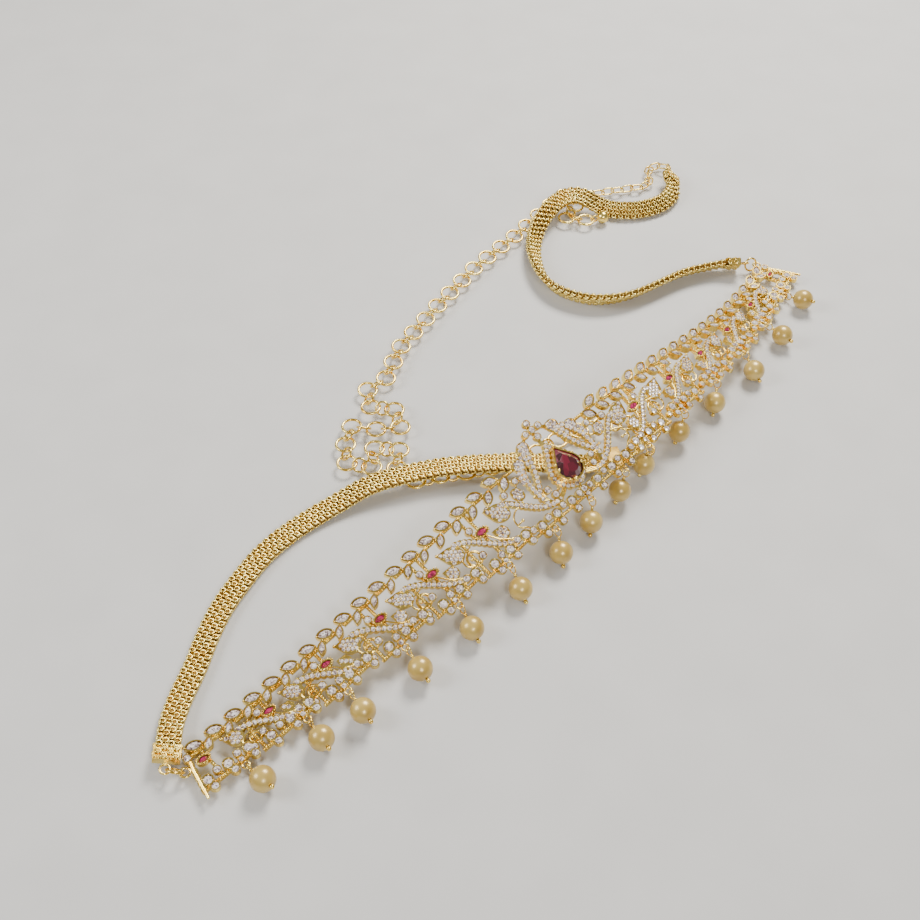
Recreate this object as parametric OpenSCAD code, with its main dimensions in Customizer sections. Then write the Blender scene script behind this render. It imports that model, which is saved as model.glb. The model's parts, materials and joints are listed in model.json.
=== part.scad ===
// Oddiyanam waist belt lying on a table: a stone set openwork panel with a medallion, fifteen pearl drops,
// two woven bands, a fine chain and a ring chain. Millimetres, +Z up, the origin under the middle of the belt.

/* [Panel] */
// Length of one openwork unit along the panel
unit_pitch = 22.2; // [20:0.1:24]
// Distance from the panel's middle to the middle of the first unit
first_unit = 39.8; // [39:0.1:42]
// Distance from the top row to the lower row beside the medallion
drop_wide = 24; // [22:0.5:27]
// Distance from the top row to the lower row at the panel's ends
drop_narrow = 13; // [12:0.5:16]
// Thickness of the pierced plate
plate_t = 1; // [0.8:0.1:1.4]
// Height of a stone cup above the back of the plate
cup_h = 2; // [1.8:0.1:2.6]
// Width of the wires that tie the cups together
wire_w = 1.1; // [0.9:0.1:1.4]

/* [Lay of the panel] */
// Height of the back of the panel at its ends
panel_base = 1.2; // [1:0.1:3]
// Height that the middle of the panel arches above its ends
panel_lift = 20; // [12:0.5:24]
// Place of the crest along the panel
crest = 15; // [0:1:25]
// Direction of the left half, from +X
heading_left = 45; // [40:1:50]
// Extra turn that the right half makes by its end
right_turn = 15; // [0:1:20]
// Tilt of the middle across its width, upper edge raised
panel_tilt = 24; // [10:1:28]

/* [Stones] */
// Length of a leaf cup
leaf_len = 6.2; // [5.6:0.1:6.6]
// Width of a leaf cup
leaf_wid = 3.6; // [3.2:0.1:3.8]
// Wall of a stone cup
cup_wall = 0.45; // [0.35:0.05:0.5]
// Gap between a stone and its cup
stone_gap = 0.12; // [0.1:0.01:0.15]
// Length of the centre ruby
ruby_len = 12.5; // [11:0.1:13]
// Width of the centre ruby
ruby_wid = 9.2; // [8:0.1:9.6]
// Height of the gallery that lifts the centre ruby
gallery_h = 5; // [4:0.1:6]
// Diameter of a round cup on the lower row
bud_d = 3.8; // [3.4:0.1:4]

/* [Pearl drops] */
// Diameter of a pearl
pearl_d = 8; // [7.4:0.1:8.2]
// Diameter of the drilled hole
pearl_bore = 1.1; // [1:0.05:1.3]
// Diameter of the head pin
pin_d = 0.7; // [0.6:0.05:0.8]
// Distance from the eye on the panel to the pearl's middle
pearl_drop = 7.4; // [7:0.1:8.4]
// Radius of the eyes, to the middle of their wire
eye_r = 1.1; // [1.05:0.05:1.3]
// Wire radius of the eyes
eye_wire_r = 0.3; // [0.25:0.05:0.35]

/* [Bands] */
// Width of a woven band
band_w = 7; // [6:0.1:7.4]
// Thickness of a woven band
band_t = 1.8; // [1.4:0.1:2]
// Length of an end cap
cap_len = 5; // [4:0.1:6]
// Wall of an end cap
cap_wall = 0.4; // [0.4:0.05:0.6]
// Gap between a band and its end cap
cap_gap = 0.17; // [0.1:0.01:0.2]

/* [Chains] */
// Outer diameter of a large ring
ring_od = 7.8; // [7.4:0.1:8]
// Wire diameter of a large ring
ring_wire = 1; // [0.9:0.05:1.05]
// Outer diameter of a joining ring
joiner_od = 5.7; // [5.6:0.05:5.9]
// Wire diameter of a joining ring
joiner_wire = 0.85; // [0.8:0.05:0.9]
// Spacing of the large rings
ring_pitch = 9.3; // [9.1:0.05:9.4]
// Length of a fine chain link
fine_len = 6.2; // [6:0.1:6.6]
// Width of a fine chain link
fine_wid = 4; // [3.8:0.1:4.2]
// Wire diameter of a fine chain link
fine_wire = 0.7; // [0.6:0.05:0.75]

/* [Hidden] */
$fn = 48;
gold = "goldenrod";
pale_gold = "khaki";
// Middle of the belt's outline on the table, which becomes the origin
middle = [26.06, 24.45];
// Where the middle of the panel's top row lies on the table
panel_at = [27, -10.5];
units = 6;
leaf_pitch = unit_pitch / 3;
half_len = first_unit + unit_pitch * (units - 1) + leaf_pitch / 2;
joiner_lean = 45;
ring_z = (joiner_od - joiner_wire) / 2 * cos(joiner_lean) + joiner_wire / 2 + 0.28;
ring_r = (ring_od - ring_wire) / 2;
cap_eye_r = 1.5;
cap_eye_wire_r = 0.35;
jump_r = 2.6;
cap_neck = 2.5;
jump_wire_r = 0.4;
jump_lean_left = 37;
jump_lean_right = 25;
// Places on a unit, from the middle of its top row
row_r = 1.15;
row_h = 1.7;
rail_drop = 1.8;
top_angle = 22;
second_angle = 135;
second_shift = 3.5;
second_drop = 1.8;
ruby_angle = 5;
bud_shift = 3.7;
bud_rise = 1.5;
eye_drop = 1.9;
pin_eye_r = 1.45;
pin_eye_wire_r = 0.22;
// How far each pearl swings along the panel from straight out, counted from the left
pearl_swing = [0, -12, -12, -12, -16, -18, -32, -50, -75, -85, -80, -60, -28, -18, -12];
cluster_shape = [[0, 0], [0, -2], [-1.7, 0], [1.7, 0], [-1.1, 1.6], [1.3, 1.6]];
end_top = [3.6, -2];
end_eye_left = [6.9, -5, 1.3];
end_eye_right = [4.2, 1.6, 1.3];
// The centre ruby and the other stones
ruby_r = ruby_wid / 2;
ruby_tip = ruby_len - ruby_r;
gallery_wall = 0.6;
prong_out = 0.55;
table_share = 0.58;
// The hook, the end bead and the tip of the rings
hook_len = 9;
hook_wid = 4.6;
hook_wire = 0.9;
hook_roll = 40;
run_way = -50;
run_tip = 7;
bead_r = 2.6;
bead_way = 12;

// Left band from the panel to the hidden end: x, y, height of its lower edge, lean
left_band_route = [
    [-85.9, -120.8, 1.6, 12], [-86.1, -115.4, 1.6, 12], [-86.4, -109, 1.1, 12], [-85.4, -100, 0.3, 10],
    [-82.4, -88, 0.1, 8], [-80, -76, 0.1, 8], [-76.8, -65, 0.1, 6], [-72.2, -55, 0.1, 6],
    [-66.3, -44.3, 0.1, 4], [-59, -35.4, 0.1, 4], [-50.6, -28, 0.4, 3], [-41.8, -22, 1.6, 2],
    [-33, -17, 3.8, 0], [-23.6, -13.4, 4.8, 0], [-15.2, -10.9, 4.9, 0], [-6.2, -8.6, 4.9, 0],
    [5, -7.2, 4.9, 0], [15, -6.6, 4.9, 0], [25, -6.4, 4.8, 0], [36, -5.8, 3.6, 0],
    [44, -4.4, 2, 0], [50.7, -2.6, 1.6, 0], [57, -1, 1.6, 0]];
// Right band from the panel to the fine chain, in the same columns
right_band_route = [
    [115.3, 106.1, 1, 50], [110, 105.9, 1, 50], [104, 105.2, 0.3, 50], [93, 101.6, 0.1, 50],
    [85.5, 97.2, 0.1, 50], [78.2, 92.4, 0.1, 50], [71, 88, 0.1, 52], [63, 85, 0.1, 55],
    [54, 84.2, 0.1, 58], [46, 86.5, 0.1, 58], [39.2, 91, 0.1, 58], [34.8, 97.6, 0.1, 56],
    [32.4, 105, 0.1, 54], [31.3, 112, 0.1, 50], [31.2, 119, 0.1, 45], [32.4, 127, 0.8, 38],
    [35.2, 134.4, 2.8, 30], [39, 140.6, 4.5, 24], [43.2, 146, 5, 20], [48.4, 149.2, 5, 22],
    [53.6, 149.6, 4, 28], [58.6, 147.8, 1.8, 36], [64, 145.4, 0.1, 45], [70, 143.8, 0.1, 50],
    [76.5, 143.8, 0.1, 52], [83.2, 145.8, 0.1, 52], [89.4, 149.6, 0.1, 50], [93.6, 155.4, 0.1, 46],
    [94.9, 159.5, 0.4, 44], [94.9, 163.5, 0.9, 44], [94.9, 168.6, 0.9, 44]];
// Ring chain: the stretch hidden under the panel and the left band, the gathered rings, the open run and its tail
hidden_route = [[66.5, 3], [69.6, 11.8], [61.4, 16.2], [52.2, 15], [43.3, 12.2], [35.3, 7.5],
    [28, 1.7], [19.6, -2.3], [11, -5.7], [2, -7.9], [-7.1, -9.4], [-15.6, -11.8]];
gathered_route = [[-22.4, -6.2], [-22, 2.7], [-30.8, 3.5], [-31.4, -5.6], [-40.3, -3.6], [-41.4, 5.4],
    [-39.7, 14.4], [-30.7, 13], [-21.9, 14], [-24.4, 23], [-33.2, 24.3]];
run_route = [[-34.8, 33.4], [-28.4, 39], [-23.5, 56.6], [-9, 81.8], [6.5, 106.4], [24.8, 128.6],
    [38, 147], [46, 156]];
tail_route = [[50.6, 147.9], [46.4, 139.6], [54.6, 138.1]];
// Where the links of the fine chain meet, from the right band's eye to the hook: x, y, height
fine_route = [[94.9, 172.6, 4], [94.3, 176.7, 3], [90.6, 178.8, 2.3], [86.7, 177.4, 2.1], [85.2, 173.5, 2.1],
    [85.5, 169.3, 2.1], [84.5, 165.2, 2.1], [81.2, 162.8, 2.1], [76.8, 161.8, 2.1], [72.4, 160.8, 2.1],
    [68, 159.8, 2.1], [63.7, 158.7, 2.1], [59.3, 157.7, 2.1], [54.9, 156.7, 2.1]];

// Small helpers
function unit_vector(v) = v / norm(v);
function sum(v) = [for (i = v) 1] * v;
function mix(a, b, t) = a * (1 - t) + b * t;
function on_table(p, z) = [p[0] - middle[0], p[1] - middle[1], z];

// The panel's lay: place, direction, slope and tilt at a distance s along it
function crest_reach(s) = s < crest ? half_len + crest : half_len - crest;
function route_z(s) = panel_base + panel_lift * pow(cos(90 * min(1, abs(s - crest) / crest_reach(s))), 2);
function route_slope(s) = asin((route_z(s + 1) - route_z(s - 1)) / 2);
function route_heading(s) = heading_left + (s > 0 ? right_turn * pow(s / half_len, 2) : 0);
function route_tilt(s) = panel_tilt * pow(cos(90 * min(1, abs(s) / half_len)), 2);
function route_steps(s, n) = [for (i = [0:n - 1]) let (m = s * (i + 0.5) / n)
    cos(route_slope(m)) * [cos(route_heading(m)), sin(route_heading(m))]];
function route_xy(s) = let (n = ceil(abs(s) / 4) + 1) panel_at + s / n * sum(route_steps(s, n));
// A frame is its origin, heading, slope and tilt
function frame_at(s) = [on_table(route_xy(s), route_z(s)), route_heading(s), route_slope(s), route_tilt(s)];
function along(f) = [cos(f[2]) * cos(f[1]), cos(f[2]) * sin(f[1]), sin(f[2])];
function level_up(f) = [-sin(f[1]), cos(f[1]), 0];
function level_out(f) = [-sin(f[2]) * cos(f[1]), -sin(f[2]) * sin(f[1]), cos(f[2])];
function across(f) = cos(f[3]) * level_up(f) + sin(f[3]) * level_out(f);
function outward(f) = cos(f[3]) * level_out(f) - sin(f[3]) * level_up(f);
function in_frame(f, p) = f[0] + p[0] * along(f) + p[1] * across(f) + p[2] * outward(f);
module at_frame(f) translate(f[0]) rotate([0, 0, f[1]]) rotate([0, -f[2], 0]) rotate([f[3], 0, 0]) children();

function unit_place(k) = first_unit + unit_pitch * (k - 1);
function unit_frame(side, k) = frame_at(side * unit_place(k));
function drop_at(s) = mix(drop_wide, drop_narrow, (s - first_unit / 2) / (half_len - first_unit / 2));
// The left half carries most of its pearls one leaf further out than the right half
function eye_x(side, k) = side < 0 && k < units - 1 ? 0 : -leaf_pitch;
function leaf_count(k) = k < units ? 3 : 2;
function leaf_x(i) = leaf_pitch * (i - 1);

// Cups, discs, eyes and bars in a plate's own frame
module leaf_shape(len, wid, h) {
    r = (len * len + wid * wid) / (4 * wid);
    intersection() {
        translate([0, r - wid / 2, 0]) cylinder(r = r, h = h, $fn = 96);
        translate([0, wid / 2 - r, 0]) cylinder(r = r, h = h, $fn = 96);
    }
}
module leaf_cup(at, angle, len, wid) translate([at[0], at[1], 0]) rotate([0, 0, angle]) leaf_shape(len, wid, cup_h);
module leaf_pocket(at, angle, len, wid) translate([at[0], at[1], plate_t]) rotate([0, 0, angle])
    leaf_shape(len - 2 * cup_wall, wid - 2 * cup_wall, cup_h);
module disc(at, r, h) translate([at[0], at[1], 0]) cylinder(r = r, h = h);
module bar(a, b) translate([a[0], a[1], 0]) rotate([0, 0, atan2(b[1] - a[1], b[0] - a[0])])
    translate([0, -wire_w / 2, 0]) cube([norm(b - a), wire_w, plate_t]);
module ring(r, wire_r) rotate_extrude() translate([r, 0]) circle(wire_r, $fn = 24);
module eye(at) translate([at[0], at[1], plate_t / 2]) ring(eye_r, eye_wire_r);

// A curved row of set stones is a row of overlapping discs along a curve with two handles
function bezier(p, t) = pow(1 - t, 3) * p[0] + 3 * pow(1 - t, 2) * t * p[1]
    + 3 * (1 - t) * t * t * p[2] + t * t * t * p[3];
function curve_points(p, n) = [for (i = [0:n]) bezier(p, i / n)];
module disc_row(points) for (p = points) disc(p, row_r, row_h);
function stem_points(d) = curve_points(
    [[-8.4, -0.9 * d], [-1.6, -0.88 * d], [2.2, -0.42 * d], [8.6, -0.34 * d]], round(0.6 * d));
function head_middle(d) = [11.3, -0.45 * d];
function head_points(at, r) = [for (a = [20:60:320]) at + r * [cos(a), sin(a)]];
function cluster_points(d) = [for (p = cluster_shape) [-5.9, -0.68 * d] + second_scale(d) * p];

// Where the set stones of a unit lie: top row, second row and ruby
function top_leaves(k) = [for (i = [0:leaf_count(k) - 1]) [leaf_x(i), 0]];
function second_leaves(k) = [for (i = [0:leaf_count(k) - 1])
    [leaf_x(i) - second_shift, -rail_drop - second_drop * second_scale(drop_at(unit_place(k)))]];
function second_scale(d) = min(1, d / drop_wide);
function second_size(d) = second_scale(d) * [leaf_len, leaf_wid];
function ruby_at(k) = let (d = drop_at(unit_place(k))) k < units ? [-0.8, -0.46 * d] : [0.6, -0.42 * d];
function ruby_size(d) = [3 + 0.115 * d, 1.9 + 0.058 * d];

// The pierced plate of one unit, its x axis away from the medallion and y = 0 on the top row
module unit_plate(side, k) {
    d = drop_at(unit_place(k));
    last = k == units;
    buds = [for (i = [0:2]) [leaf_x(i) - bud_shift, -d + bud_rise]];
    round_cup = [2.2, -0.33 * d];
    difference() {
        union() {
            bar([-1.5 * leaf_pitch, -rail_drop], [last ? 4.8 : 1.15 * leaf_pitch, -rail_drop]);
            bar([-1.7 * leaf_pitch, -d - 0.2], [last ? 5.6 : 1.1 * leaf_pitch, -d - 0.2]);
            bar([-0.8, -rail_drop], [-0.8, -d]);
            for (p = top_leaves(k)) leaf_cup(p, top_angle, leaf_len, leaf_wid);
            for (p = second_leaves(k)) leaf_cup(p, second_angle, second_size(d)[0], second_size(d)[1]);
            leaf_cup(ruby_at(k), ruby_angle, ruby_size(d)[0], ruby_size(d)[1]);
            for (p = buds) {
                disc(p, bud_d / 2, cup_h);
                disc([p[0], -d - 1.2], row_r, row_h);
            }
            disc([eye_x(side, k), -d + 0.4], row_r, row_h);
            eye([eye_x(side, k), -d - eye_drop]);
            if (last) end_bar(d);
            else {
                bar([round_cup[0], -rail_drop], [round_cup[0], -0.56 * d]);
                bar([7, -0.36 * d], [7, -d]);
                disc(round_cup, 1.4, cup_h);
                disc_row(stem_points(d));
                disc_row(head_points(head_middle(d), 0.085 * d));
                disc(head_middle(d), 0.05 * d, row_h);
                translate([7, -0.67 * d, plate_t / 2]) ring(0.11 * d, 0.5);
                for (p = cluster_points(d)) disc(p, 0.9, row_h);
                bar([-5.9, -0.68 * d], [-5.9, -d]);
            }
        }
        for (p = top_leaves(k)) leaf_pocket(p, top_angle, leaf_len, leaf_wid);
        for (p = second_leaves(k)) leaf_pocket(p, second_angle, second_size(d)[0], second_size(d)[1]);
        leaf_pocket(ruby_at(k), ruby_angle, ruby_size(d)[0], ruby_size(d)[1]);
        for (p = buds) translate([0, 0, plate_t]) disc(p, bud_d / 2 - cup_wall, cup_h);
        if (!last) translate([0, 0, plate_t]) disc(round_cup, 1.4 - cup_wall, cup_h);
    }
}
// The bar across the panel's end, with the eye that takes the jump ring
module end_bar(d) {
    foot = [6.2, -d];
    for (t = [0:0.2:1]) disc(mix(end_top, foot, t), 1, row_h);
    bar(end_top, foot);
}
module panel_unit(side, k) at_frame(unit_frame(side, k)) mirror([side < 0 ? 1 : 0, 0, 0]) {
    unit_plate(side, k);
    if (k == units) translate(side < 0 ? end_eye_left : end_eye_right) ring(cap_eye_r, cap_eye_wire_r);
}

// Both halves of the medallion, then its halo and the gallery of the centre ruby
medal_tops = [[25, 0]];
medal_seconds = [[21.5, -rail_drop - second_drop]];
medal_buds = [for (x = [6.6, 14, 21.3]) [x, -drop_wide + bud_rise]];
crown_cups = [[0, 7.4], [0, 4.6], [0, 1.6], [3, 4.6], [-3, 4.6]];
inner_leaf = [[6, 2.6], [8.2, -3], [9.6, -8.4], [13.4, -13.2]];
outer_leaf = [[10.5, -0.5], [14.6, -5], [15.6, -11], [13.8, -17.6]];
medal_stem = [[9.2, -19.6], [18.5, -20], [21.5, -11.5], [27, -8.6]];
medal_head = [29.8, -10.1];
pear_middle = [0, -13.3];
pear_facets = 32;
halo_r = 5.95;
halo_tip = 10.7;
medal_eye_x = 17.6;

// A teardrop round the origin: points on its round end, and the tip
function pear_turn(r, tip) = acos(r / tip);
function pear_arc(r, tip, n) = [for (i = [0:n]) let (a = pear_turn(r, tip) + (360 - 2 * pear_turn(r, tip)) * i / n)
    r * [-sin(a), cos(a)]];
function pear_side(r, tip, n) = [for (i = [1:n - 1]) mix(pear_arc(r, tip, 1)[1], [0, tip], i / n)];
module pear(r, tip, h) linear_extrude(h) polygon(concat(pear_arc(r, tip, pear_facets), [[0, tip]]));
module medallion_half() {
    difference() {
        union() {
            bar([7.6, -rail_drop], [26.1, -rail_drop]);
            bar([-wire_w, -drop_wide - 0.2], [24.8, -drop_wide - 0.2]);
            bar([5, -17.5], [9.2, -19.6]);
            bar([3, 4.6], [6, 2.6]);
            for (p = medal_tops) leaf_cup(p, top_angle, leaf_len, leaf_wid);
            for (p = medal_seconds) leaf_cup(p, second_angle, leaf_len, leaf_wid);
            for (p = medal_buds) {
                disc(p, bud_d / 2, cup_h);
                disc([p[0], -drop_wide - 1.2], row_r, row_h);
            }
            disc_row(curve_points(inner_leaf, 10));
            disc_row(curve_points(outer_leaf, 10));
            disc_row(curve_points(medal_stem, 14));
            disc_row(head_points(medal_head, 2.05));
            disc(medal_head, 1.2, row_h);
            eye([medal_eye_x, -drop_wide - eye_drop]);
        }
        for (p = medal_tops) leaf_pocket(p, top_angle, leaf_len, leaf_wid);
        for (p = medal_seconds) leaf_pocket(p, second_angle, leaf_len, leaf_wid);
        for (p = medal_buds) translate([0, 0, plate_t]) disc(p, bud_d / 2 - cup_wall, cup_h);
    }
}
module medallion() color(gold) at_frame(frame_at(0)) {
    for (m = [0, 1]) mirror([m, 0, 0]) medallion_half();
    bar([0, 7.4], [0, -4]);
    bar([0, -19], [0, -drop_wide]);
    bar([-3, 4.6], [3, 4.6]);
    for (p = crown_cups) disc(p, 1.3, cup_h);
    eye([0, -drop_wide - eye_drop]);
    translate(pear_middle) {
        pear(halo_r, halo_tip, plate_t);
        disc_row(concat(pear_arc(halo_r, halo_tip, 13), [[0, halo_tip]]));
        for (p = pear_side(halo_r, halo_tip, 5)) for (m = [-1, 1]) disc([m * p[0], p[1]], row_r, row_h);
        difference() {
            pear(ruby_r + gallery_wall, ruby_tip + 1.4 * gallery_wall, gallery_h);
            translate([0, 0, plate_t]) pear(ruby_r + stone_gap, ruby_tip + 1.4 * stone_gap, gallery_h);
        }
        for (p = concat(pear_arc(ruby_r + prong_out, ruby_tip + prong_out, 3), [[0, ruby_tip + 1.4 * prong_out]]))
            translate([p[0], p[1], gallery_h]) sphere(0.45);
    }
}

// Every stone is cut the same way: a flat table, a sloping crown and a pointed pavilion
module cut_stone(outline, girdle, crown, depth) {
    n = len(outline);
    polyhedron(
        points = concat([for (p = outline) [table_share * p[0], table_share * p[1], girdle + crown]],
            [for (p = outline) [p[0], p[1], girdle]], [[0, 0, girdle - depth]]),
        faces = concat([[for (i = [n - 1:-1:0]) i]],
            [for (i = [0:n - 1]) [i, (i + 1) % n, n + (i + 1) % n, n + i]],
            [for (i = [0:n - 1]) [n + i, n + (i + 1) % n, 2 * n]]));
}
function arc_drop(len, wid, x) = let (r = (len * len + wid * wid) / (4 * wid)) sqrt(r * r - x * x) - r + wid / 2;
function leaf_outline(len, wid) = concat(
    [for (i = [-2:1]) [i * len / 4, -arc_drop(len, wid, i * len / 4)]],
    [for (i = [2:-1:-1]) [i * len / 4, arc_drop(len, wid, i * len / 4)]]);
module leaf_stone(at, angle, size) translate([at[0], at[1], 0]) rotate([0, 0, angle]) cut_stone(
    leaf_outline(size[0] - 2 * cup_wall - 5 * stone_gap, size[1] - 2 * cup_wall - 2 * stone_gap),
    cup_h - 0.25, 0.5, 0.55);
module centre_ruby() color("crimson") at_frame(frame_at(0)) translate(pear_middle)
    cut_stone(concat(pear_arc(ruby_r, ruby_tip, 9), [[0, ruby_tip]]), gallery_h - 0.3, 1.6, 3.2);
module small_rubies() color("mediumvioletred") for (side = [-1, 1]) for (k = [1:units])
    at_frame(unit_frame(side, k)) mirror([side < 0 ? 1 : 0, 0, 0])
        leaf_stone(ruby_at(k), ruby_angle, ruby_size(drop_at(unit_place(k))));
module leaf_stones(side) {
    at_frame(frame_at(0)) mirror([side < 0 ? 1 : 0, 0, 0]) {
        for (p = medal_tops) leaf_stone(p, top_angle, [leaf_len, leaf_wid]);
        for (p = medal_seconds) leaf_stone(p, second_angle, [leaf_len, leaf_wid]);
    }
    for (k = [1:units]) at_frame(unit_frame(side, k)) mirror([side < 0 ? 1 : 0, 0, 0]) {
        for (p = top_leaves(k)) leaf_stone(p, top_angle, [leaf_len, leaf_wid]);
        for (p = second_leaves(k)) leaf_stone(p, second_angle, second_size(drop_at(unit_place(k))));
    }
}

// Pearl drops, counted from the left: the frame of the plate that carries each one, and its eye on that plate
function drop_rows() = concat(
    [for (k = [units:-1:1]) [unit_frame(-1, k), -eye_x(-1, k), drop_at(unit_place(k))]],
    [for (x = [-medal_eye_x, 0, medal_eye_x]) [frame_at(0), x, drop_wide]],
    [for (k = [1:units]) [unit_frame(1, k), eye_x(1, k), drop_at(unit_place(k))]]);
function hang_point(row) = in_frame(row[0], [row[1], -row[2] - eye_drop - eye_r, plate_t / 2]);
pin_foot = pearl_drop + pearl_d / 2 + 0.7;
function hang_angle(z) = acos(min(1, (z - pearl_d / 2 - 0.1) / pearl_drop, (z - 0.85) / pin_foot));
module hung(i) {
    row = drop_rows()[i];
    at = hang_point(row);
    translate(at) rotate([0, 0, row[0][1] + pearl_swing[i]]) rotate([-hang_angle(at[2]), 0, 0])
        rotate([0, 0, -pearl_swing[i]]) children();
}
module pearl(i) color("antiquewhite") hung(i) translate([0, 0, -pearl_drop]) difference() {
    sphere(d = pearl_d);
    cylinder(d = pearl_bore, h = 2 * pearl_d, center = true);
}
module pearl_pins() color(gold) for (i = [0:2 * units + 2]) hung(i) {
    translate([0, 0, -0.55]) rotate([0, 90, 0]) ring(pin_eye_r, pin_eye_wire_r);
    translate([0, 0, -pin_foot]) cylinder(d = pin_d, h = pin_foot - 0.55 - pin_eye_r);
    translate([0, 0, -2.7]) sphere(0.58);
    translate([0, 0, -pin_foot]) sphere(0.75);
}

// A woven band is swept along a smooth line through its route, and each row holds x, y, lower edge and lean
function spline(p, i, t) = let (a = p[max(i - 1, 0)], b = p[i], c = p[i + 1], d = p[min(i + 2, len(p) - 1)])
    0.5 * (2 * b + t * (c - a) + t * t * (2 * a - 5 * b + 4 * c - d) + t * t * t * (3 * b - a - 3 * c + d));
function smooth(p, n) = concat(
    [for (i = [0:len(p) - 2]) for (j = [0:n - 1]) spline(p, i, j / n)], [p[len(p) - 1]]);
function heading_to(a, b) = atan2(b[1] - a[1], b[0] - a[0]);
function row_heading(rows, i) = heading_to(rows[max(i - 1, 0)], rows[min(i + 1, len(rows) - 1)]);
function band_middle(row) = on_table(row, row[2] + band_w / 2 * abs(sin(row[3])) + band_t / 2 * cos(row[3]));
function band_point(row, h, p) = band_middle(row)
    + p[0] * [-sin(h) * cos(row[3]), cos(h) * cos(row[3]), sin(row[3])]
    + p[1] * [sin(h) * sin(row[3]), -cos(h) * sin(row[3]), cos(row[3])];
band_section = let (w = band_w / 2, t = band_t / 2) [[w, -t / 2], [w, t / 2], [w - 0.6, t], [0.6 - w, t],
    [-w, t / 2], [-w, -t / 2], [0.6 - w, -t], [w - 0.6, -t]];
module band(route) {
    rows = smooth(route, 3);
    n = len(band_section);
    last = len(rows) - 1;
    polyhedron(
        points = [for (i = [0:last]) for (p = band_section) band_point(rows[i], row_heading(rows, i), p)],
        faces = concat([[for (j = [0:n - 1]) j]], [[for (j = [n - 1:-1:0]) n * last + j]],
            [for (i = [0:last - 1]) for (j = [0:n - 1]) [i * n + j, (i + 1) * n + j, (i + 1) * n + (j + 1) % n]],
            [for (i = [0:last - 1]) for (j = [0:n - 1]) [i * n + j, (i + 1) * n + (j + 1) % n, i * n + (j + 1) % n]]));
}
// The row, heading and lean of a band's end, seen along the way out of the band
function band_end(route, back) = back
    ? [route[len(route) - 1], heading_to(route[len(route) - 2], route[len(route) - 1]), 1]
    : [route[0], heading_to(route[1], route[0]), -1];
module end_cap(e) {
    out = cap_wall + cap_gap;
    color(gold) translate(band_middle(e[0])) rotate([0, 0, e[1]]) rotate([e[2] * e[0][3], 0, 0]) {
        difference() {
            translate([out - cap_len, -band_w / 2 - out, -band_t / 2 - out])
                cube([cap_len, band_w + 2 * out, band_t + 2 * out]);
            translate([-cap_len, -band_w / 2 - cap_gap, -band_t / 2 - cap_gap])
                cube([cap_len + cap_gap, band_w + 2 * cap_gap, band_t + 2 * cap_gap]);
        }
        translate([out + cap_neck, 0, 0]) ring(cap_eye_r, cap_eye_wire_r);
        translate([out, -0.6, -0.5]) cube([cap_neck - cap_eye_r, 1.2, 1]);
    }
}

// Rings are records of middle, normal and radius, and a joining ring takes the near wires of two of them
module ring_at(c, n, r, wire_r) translate(c) rotate([0, acos(n[2]), atan2(n[1], n[0])]) ring(r, wire_r);
function towards(a, b) = unit_vector((b[0] - a[0]) - ((b[0] - a[0]) * a[1]) * a[1]);
function near_wire(a, b) = a[0] + a[2] * towards(a, b);
function join_middle(a, b) = (near_wire(a, b) + near_wire(b, a)) / 2;
function join_normal(a, b, lean) = let (u = unit_vector(near_wire(b, a) - near_wire(a, b)),
    t = cross(a[1], towards(a, b)), n = unit_vector(t - (t * u) * u)) n * cos(lean) + cross(u, n) * sin(lean);
module join_rings(a, b, r, wire_r, lean) ring_at(join_middle(a, b), join_normal(a, b, lean), r, wire_r);
module big_ring(a) ring_at(a[0], a[1], a[2], ring_wire / 2);
module joiner(a, b) join_rings(a, b, (joiner_od - joiner_wire) / 2, joiner_wire / 2, joiner_lean);

function lengths(p) = [for (i = [0:len(p) - 2]) norm(p[i + 1] - p[i])];
function walk(p, d, i = 0) = let (m = norm(p[i + 1] - p[i]))
    d <= m || i == len(p) - 2 ? mix(p[i], p[i + 1], d / m) : walk(p, d - m, i + 1);
function spaced(p, n) = let (total = sum(lengths(p))) [for (i = [0:n]) walk(p, total * i / n)];
function flat_ring(p) = [on_table(p, ring_z), [0, 0, 1], ring_r];
function tipped(p, way, tip) = [on_table(p, ring_z), [sin(tip) * cos(way), sin(tip) * sin(way), cos(tip)], ring_r];
function run_rings() = [for (p = spaced(run_route, round(sum(lengths(run_route)) / ring_pitch)))
    tipped(p, run_way, run_tip)];
function tail_rings() = concat([run_rings()[len(run_rings()) - 1]], [for (p = tail_route) flat_ring(p)]);
function gathered_rings() = [for (p = concat(hidden_route, gathered_route)) flat_ring(p)];
module ring_chain(rings, from) {
    for (i = [from:len(rings) - 1]) big_ring(rings[i]);
    for (i = [0:len(rings) - 2]) joiner(rings[i], rings[i + 1]);
}

// Eyes that take a jump ring or a chain, as records like the rings
function cap_eye(e) = let (m = cap_wall + cap_gap + cap_neck, lean = e[2] * e[0][3])
    [band_middle(e[0]) + m * [cos(e[1]), sin(e[1]), 0],
     [sin(e[1]) * sin(lean), -cos(e[1]) * sin(lean), cos(lean)], cap_eye_r];
function end_eye(side) = let (f = unit_frame(side, units), p = side < 0 ? end_eye_left : end_eye_right)
    [in_frame(f, [side * p[0], p[1], p[2]]), outward(f), cap_eye_r];
module jump_ring(a, b, lean) color(gold) join_rings(a, b, jump_r, jump_wire_r, lean);

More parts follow.
